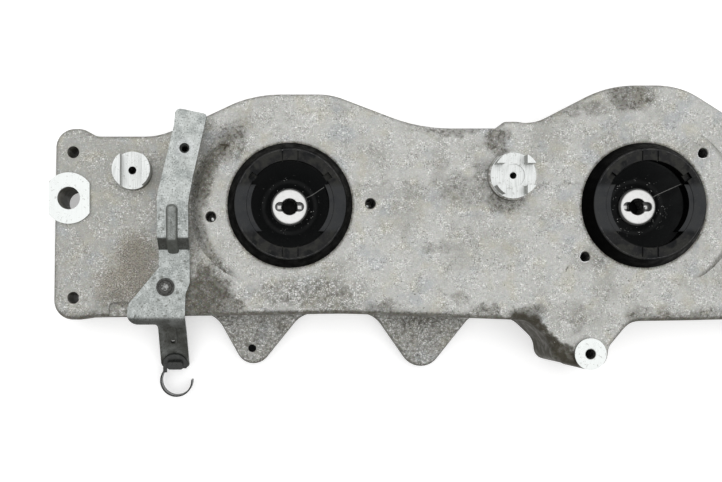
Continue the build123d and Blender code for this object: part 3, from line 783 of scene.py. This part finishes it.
def pick(piece, test):
    """Select the corners of a piece that pass the test, in edit mode."""
    bpy.ops.object.mode_set(mode="EDIT")
    bpy.ops.mesh.select_mode(type="VERT")
    bpy.ops.mesh.select_all(action="DESELECT")
    bpy.ops.object.mode_set(mode="OBJECT")
    for corner in piece.data.vertices:
        corner.select = test(corner.co)
    bpy.ops.object.mode_set(mode="EDIT")


def close_up(piece):
    """Fill the open ends of a piece, face it outwards and smooth it."""
    bpy.ops.object.mode_set(mode="EDIT")
    bpy.ops.mesh.select_all(action="SELECT")
    bpy.ops.mesh.remove_doubles(threshold=0.001 * mm)
    bpy.ops.mesh.fill_holes(sides=16)
    bpy.ops.mesh.normals_make_consistent(inside=False)
    bpy.ops.object.mode_set(mode="OBJECT")
    bpy.ops.object.shade_smooth_by_angle(angle=math.radians(40))


def settle(piece, name, material):
    """Keep a finished piece's place in its mesh, and let it ride on the bracket."""
    bpy.ops.object.transform_apply(location=True, rotation=True, scale=True)
    piece.name = name
    piece.data.materials.append(material)
    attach(piece, "root")


class BRACKET_OT_add_ring_lips(Operator):
    """Add the thin lips moulded round the top of each stop ring"""

    bl_idname = "bracket.add_ring_lips"
    bl_label = "Add the lips of the stop rings"

    def execute(self, context):
        settings = context.scene.bracket_mounts
        rubber = Finish("lip_rubber")
        wear = rubber.noise(2 * mm, 4)
        rubber.set(
            Base_Color=rubber.mix(rubber.spread(wear, 0.4, 0.65), settings.ring, worn_lip),
            Roughness=rubber.spread(wear, 0.3, 0.7, 0.3, 0.5),
            Specular_IOR_Level=0.3,
        )
        rubber.bump(wear, 0.05 * mm)
        for side in ("left", "right"):
            centre = holes[f"core_thread_{side}"]
            bpy.ops.object.select_all(action="DESELECT")
            bpy.ops.mesh.primitive_torus_add(
                location=(centre.x, centre.y, settings.lip_height),
                major_radius=settings.lip_radius,
                minor_radius=settings.lip_width / 2,
                major_segments=144,
                minor_segments=12,
            )
            lip = context.object

            # Open the lip beside the pads, then flatten it
            half_gap = math.radians(22)
            pick(lip, lambda corner: abs(corner.y) < abs(corner.x) * math.tan(half_gap))
            bpy.ops.mesh.delete(type="VERT")
            bpy.ops.mesh.select_all(action="SELECT")
            bpy.ops.transform.resize(value=(1, 1, 0.7))
            close_up(lip)
            settle(lip, f"ring_lip_{side}", rubber.material)
        return {"FINISHED"}


class BRACKET_OT_cut_threads(Operator):
    """Add the turns of thread inside every tapped hole"""

    bl_idname = "bracket.cut_threads"
    bl_label = "Cut the threads"

    def execute(self, context):
        settings = context.scene.bracket_threads
        thread = Finish("oily_thread")
        wear = thread.noise(0.9 * mm, 3)
        steep = thread.spread(thread.gap(thread.faces_up, 0), 0.9, 0.2, 0.1, 0.7)
        rubbed = thread.product(steep, thread.spread(wear, 0.35, 0.65))
        thread.set(
            Base_Color=thread.mix(rubbed, settings.metal, settings.crest),
            Metallic=0.8,
            Roughness=thread.spread(wear, 0.3, 0.7, 0.3, 0.5),
        )
        thread.bump(wear, 0.03 * mm)
        for mount in frame["record"]["mounts"]:
            if mount["kind"] == "threaded_hole":
                turn = self.wind(context, mount, settings)
                settle(turn, f"turns_{mount['name']}", thread.material)
        return {"FINISHED"}

    def wind(self, context, mount, settings):
        """Wind one small diamond up the wall of a hole, its half height a share of the pitch."""
        radius = mount["dims"]["r_mm"]
        length = mount["dims"]["length_mm"]
        pitch = pitches[radius]
        half_height = 0.46
        turns = int(length / pitch) - 1
        place = Vector(mount["pos_m"])
        place.z -= turns * pitch * mm / 2
        bpy.ops.object.select_all(action="DESELECT")
        bpy.ops.mesh.primitive_circle_add(
            vertices=4, radius=half_height * pitch * mm, location=place, rotation=(math.radians(90), 0, 0)
        )
        turn = context.object
        bpy.ops.object.transform_apply(location=False, rotation=True, scale=True)
        bpy.ops.object.mode_set(mode="EDIT")
        bpy.ops.mesh.select_all(action="SELECT")
        bpy.ops.transform.resize(value=(settings.depth / half_height, 1, 1))
        bpy.ops.transform.translate(value=(radius * mm, 0, 0))
        bpy.ops.object.mode_set(mode="OBJECT")
        bpy.ops.object.modifier_add(type="SCREW")
        winding = turn.modifiers[0]
        winding.screw_offset = pitch * mm
        winding.iterations = turns
        winding.steps = settings.steps
        winding.render_steps = settings.steps
        bpy.ops.object.modifier_apply(modifier=winding.name)
        close_up(turn)
        return turn


class BRACKET_OT_finish_sheet(Operator):
    """Give the sheet bracket its zinc plating, and its screw a dark one"""

    bl_idname = "bracket.finish_sheet"
    bl_label = "Finish the sheet bracket"

    def execute(self, context):
        settings = context.scene.bracket_sheet
        self.finish_plate(settings)
        self.finish_screw(settings)
        return {"FINISHED"}

    def finish_plate(self, settings):
        """Zinc plating with patches, frost, grain and scratches, and painted shade on the strip, on the
        faces that slope down and over the bead.
        """
        zinc = Finish("zinc_plating")
        patches = zinc.noise(10 * mm, 5)
        grain = zinc.noise(1.1 * mm, 3)
        frost = zinc.noise(4.5 * mm, 4)
        scratches = zinc.noise(2 * mm, 4, (0.4, 6, 1))
        lower = zinc.spread(zinc.y, 10 * mm, -20 * mm)
        spots = zinc.spread(zinc.cells(6 * mm, zinc.warped(4 * mm, 3 * mm)), 0.3, 0.12)
        halo = zinc.spread(zinc.radius(holes["strip_thread"]), 9 * mm, 5 * mm, 0, 0.3)
        dirt_and_shade = self.dirt_and_shade(zinc, patches)
        colour = settings.zinc
        for share, tone in (
            (zinc.spread(patches, 0.42, 0.66), settings.tint),
            (zinc.spread(lower, 0, 1, 0, 0.55), dull_zinc),
            (zinc.spread(frost, 0.5, 0.66, 0, 0.45), zinc_frost),
            (zinc.spread(frost, 0.44, 0.3, 0, 0.4), zinc_shade),
            (zinc.spread(grain, 0.54, 0.7, 0, 0.55), zinc_spark),
            (zinc.spread(grain, 0.44, 0.32, 0, 0.7), zinc_pit),
            (zinc.product(spots, 0.6, lower), zinc_spot),
            (zinc.spread(scratches, 0.64, 0.75, 0, 0.4), zinc_scratch),
            (halo, zinc_halo),
            # Painted shade on the faces that slope down and on the strip
            (dirt_and_shade, settings.shade_and_black),
            # Painted shade over the pressed bead
            (self.painted_bead_shade(zinc), bead_shade),
        ):
            colour = zinc.mix(share, colour, tone)
        zinc.set(
            Base_Color=colour,
            Metallic=zinc.spread(dirt_and_shade, 0, 0.8, 0.7, 0.15),
            Roughness=zinc.spread(patches, 0.3, 0.7, 0.38, 0.52),
            Specular_IOR_Level=0.25,
        )
        zinc.bump(zinc.work("ADD", grain, patches), 0.05 * mm)
        zinc.put_on("bracket_plate")

    def dirt_and_shade(self, zinc, patches):
        """Painted shade on the faces that slope down and on the strip, broken a little in patches, save on
        the folds between them.
        """
        hollow = zinc.product(
            zinc.spread(zinc.faces_up, 0.97, 0.8), zinc.spread(zinc.faces_y, 0.1, -0.1, 0.35, 0.9)
        )
        sloping = zinc.spread(zinc.y, -90 * mm, -97 * mm, 0, 0.93)
        upper = zinc.largest(
            zinc.spread(zinc.y, -84 * mm, -80 * mm),
            zinc.spread(zinc.y, -96 * mm, -100 * mm),
            zinc.spread(zinc.z, 43 * mm, 34 * mm, 0.3, 1),
        )
        broken = zinc.spread(patches, 0.2, 0.6, 0.8, 1)
        return zinc.product(zinc.largest(hollow, sloping), broken, upper)

    def painted_bead_shade(self, zinc):
        """Painted shade over the pressed bead, deepest near its rim."""
        across = zinc.gap(zinc.x, 78.3 * mm)
        beyond = zinc.work("SUBTRACT", zinc.gap(zinc.y, -23.8 * mm), 13.9 * mm)
        beyond = zinc.largest(beyond, 0)
        total = zinc.work("ADD", zinc.product(across, across), zinc.product(beyond, beyond))
        away = zinc.work("SQRT", total)
        return zinc.product(
            zinc.spread(away, 4.5 * mm, 3.9 * mm), zinc.spread(away, 1.5 * mm, 3.8 * mm, 0.5, 0.85)
        )

    def finish_screw(self, settings):
        """Dark zinc, with a painted highlight, broken up by wear, in the middle of the head."""
        screw = Finish("dark_zinc_screw")
        wear = screw.noise(1.5 * mm, 4)
        away = screw.radius(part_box("bracket_screw")[0].lerp(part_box("bracket_screw")[1], 0.5))
        # Painted highlight in the middle of the head
        bright = screw.product(
            screw.spread(wear, 0.4, 0.55), screw.spread(away, 3 * mm, 2.2 * mm, 0, 0.8)
        )
        colour = screw.mix(screw.spread(wear, 0.45, 0.65), settings.screw, screw_wear)
        screw.set(
            Base_Color=screw.mix(bright, colour, screw_highlight),
            Metallic=0.8,
            Roughness=screw.spread(wear, 0.3, 0.7, 0.28, 0.45),
        )
        screw.bump(wear, 0.05 * mm)
        screw.put_on("bracket_screw")


class BRACKET_OT_finish_clip(Operator):
    """Give the cable clip its glossy black plastic"""

    bl_idname = "bracket.finish_clip"
    bl_label = "Finish the cable clip"

    def execute(self, context):
        settings = context.scene.bracket_sheet
        clip = Finish("clip_plastic")
        scuff = clip.noise(1.6 * mm, 4)
        clip.set(
            Base_Color=clip.mix(clip.spread(scuff, 0.5, 0.75, 0, 0.5), settings.clip, clip_scuff),
            Roughness=clip.spread(scuff, 0.3, 0.7, 0.25, 0.45),
        )
        clip.bump(scuff, 0.04 * mm)
        clip.put_on("cable_clip")
        return {"FINISHED"}


class BRACKET_OT_set_stage(Operator):
    """Add the floor, the lights and a camera that looks straight down"""

    bl_idname = "bracket.set_stage"
    bl_label = "Set the stage"

    def execute(self, context):
        settings = context.scene.bracket_stage
        self.lay_floor(settings)
        self.hang_panel(settings)
        self.place_camera(context.scene, settings)
        self.light_room(context.scene, settings)
        return {"FINISHED"}

    def lay_floor(self, settings):
        """A white floor a hair under the bracket, with a shadow painted dark where the ear's hole shows it.
        """
        bpy.ops.object.select_all(action="DESELECT")
        bpy.ops.mesh.primitive_plane_add(size=40, location=(middle_x, 0, -0.3 * mm))
        floor = bpy.context.object
        bpy.ops.object.transform_apply(location=True)
        floor.name = "floor"
        paper = Finish("floor_paper")
        tone = paper.noise(0.4, 2)
        pale = [0.985 * part for part in settings.floor]
        from_hole = paper.radius(holes["ear_hole"])
        from_bracket = paper.radius((middle_x, 0))
        # No glow beneath the ear's hole, so that the painted shadow there stays dark
        glow = paper.product(
            paper.spread(from_bracket, 0.8, 3, settings.glow, 1),
            paper.spread(from_hole, 8 * mm, 13 * mm),
        )
        # Painted shadow on the floor where the ear's hole shows it
        hole_shadow_spot = paper.spread(from_hole, 6 * mm, 4.5 * mm)
        paper.set(
            Base_Color=paper.mix(hole_shadow_spot, paper.mix(tone, settings.floor, pale), ear_hole_shadow),
            Roughness=0.9,
            Emission_Color=white,
            Emission_Strength=paper.product(self.seen(paper.tree, 0, 1), glow),
        )
        floor.data.materials.append(paper.material)

    def hang_panel(self, settings):
        """A wide light panel overhead, which leaves no mirror image of itself."""
        bpy.ops.object.light_add(type="AREA", location=(middle_x, 0.8, 1.6))
        panel = bpy.context.object
        panel.name = "panel"
        panel.data.shape = "SQUARE"
        panel.data.size = settings.panel_size
        panel.data.energy = settings.panel_power
        panel.visible_glossy = False

    def place_camera(self, scene, settings):
        """A camera that looks straight down, its lens shifted to frame the left of the bracket."""
        bpy.ops.object.camera_add(
            location=(settings.axis_x, settings.axis_y, settings.height), rotation=(0, 0, 0)
        )
        camera = bpy.context.object
        camera.name = "camera"
        camera.data.lens = settings.lens
        camera.data.sensor_width = 36
        camera.data.shift_x = settings.shift_x
        camera.data.shift_y = settings.shift_y
        scene.camera = camera

    def light_room(self, scene, settings):
        """Dim white light from all round, which the eye and a gloss see as plain white."""
        world = scene.world or bpy.data.worlds.new("room")
        scene.world = world
        world.use_nodes = True
        sky = world.node_tree.nodes["Background"]
        sky.inputs["Color"].default_value = (*white, 1)
        strength = self.seen(world.node_tree, settings.sky, 1)
        world.node_tree.links.new(strength, sky.inputs["Strength"])
        scene.view_settings.view_transform = "Standard"

    def seen(self, tree, hidden, shown):
        """One strength for the light on things, and another for what the eye, a gloss or glass sees."""
        path = tree.nodes.new("ShaderNodeLightPath")
        ramp = tree.nodes.new("ShaderNodeMapRange")
        total = path.outputs["Is Camera Ray"]
        for name in ("Is Glossy Ray", "Is Transmission Ray"):
            either = tree.nodes.new("ShaderNodeMath")
            either.operation = "MAXIMUM"
            tree.links.new(total, either.inputs[0])
            tree.links.new(path.outputs[name], either.inputs[1])
            total = either.outputs[0]
        tree.links.new(total, ramp.inputs["Value"])
        ramp.inputs["To Min"].default_value = hidden
        ramp.inputs["To Max"].default_value = shown
        return ramp.outputs[0]


class BRACKET_PT_workshop(Panel):
    """The bracket's settings and steps"""

    bl_idname = "BRACKET_PT_workshop"
    bl_label = "Mount Bracket"
    bl_space_type = "VIEW_3D"
    bl_region_type = "UI"
    bl_category = "Mount Bracket"

    def draw(self, context):
        for name, group in settings_groups.items():
            box = self.layout.box()
            box.label(text=group.__doc__)
            for key in group.__annotations__:
                box.prop(getattr(context.scene, name), key)
        for step in steps:
            self.layout.operator(step.bl_idname)


settings_groups = {
    "bracket_casting": CastingSettings,
    "bracket_mounts": MountSettings,
    "bracket_threads": ThreadSettings,
    "bracket_sheet": SheetSettings,
    "bracket_stage": StageSettings,
}
steps = (
    BRACKET_OT_finish_casting,
    BRACKET_OT_finish_mounts,
    BRACKET_OT_add_ring_lips,
    BRACKET_OT_cut_threads,
    BRACKET_OT_finish_sheet,
    BRACKET_OT_finish_clip,
    BRACKET_OT_set_stage,
)


def register():
    for name, group in settings_groups.items():
        bpy.utils.register_class(group)
        setattr(bpy.types.Scene, name, PointerProperty(type=group))
    for step in steps:
        bpy.utils.register_class(step)
    bpy.utils.register_class(BRACKET_PT_workshop)


def unregister():
    bpy.utils.unregister_class(BRACKET_PT_workshop)
    for step in reversed(steps):
        bpy.utils.unregister_class(step)
    for name, group in reversed(settings_groups.items()):
        delattr(bpy.types.Scene, name)
        bpy.utils.unregister_class(group)


def main():
    """Run every step in order."""
    register()
    bpy.ops.bracket.finish_casting()
    bpy.ops.bracket.finish_mounts()
    bpy.ops.bracket.add_ring_lips()
    bpy.ops.bracket.cut_threads()
    bpy.ops.bracket.finish_sheet()
    bpy.ops.bracket.finish_clip()
    bpy.ops.bracket.set_stage()


if __name__ == "__main__":
    main()
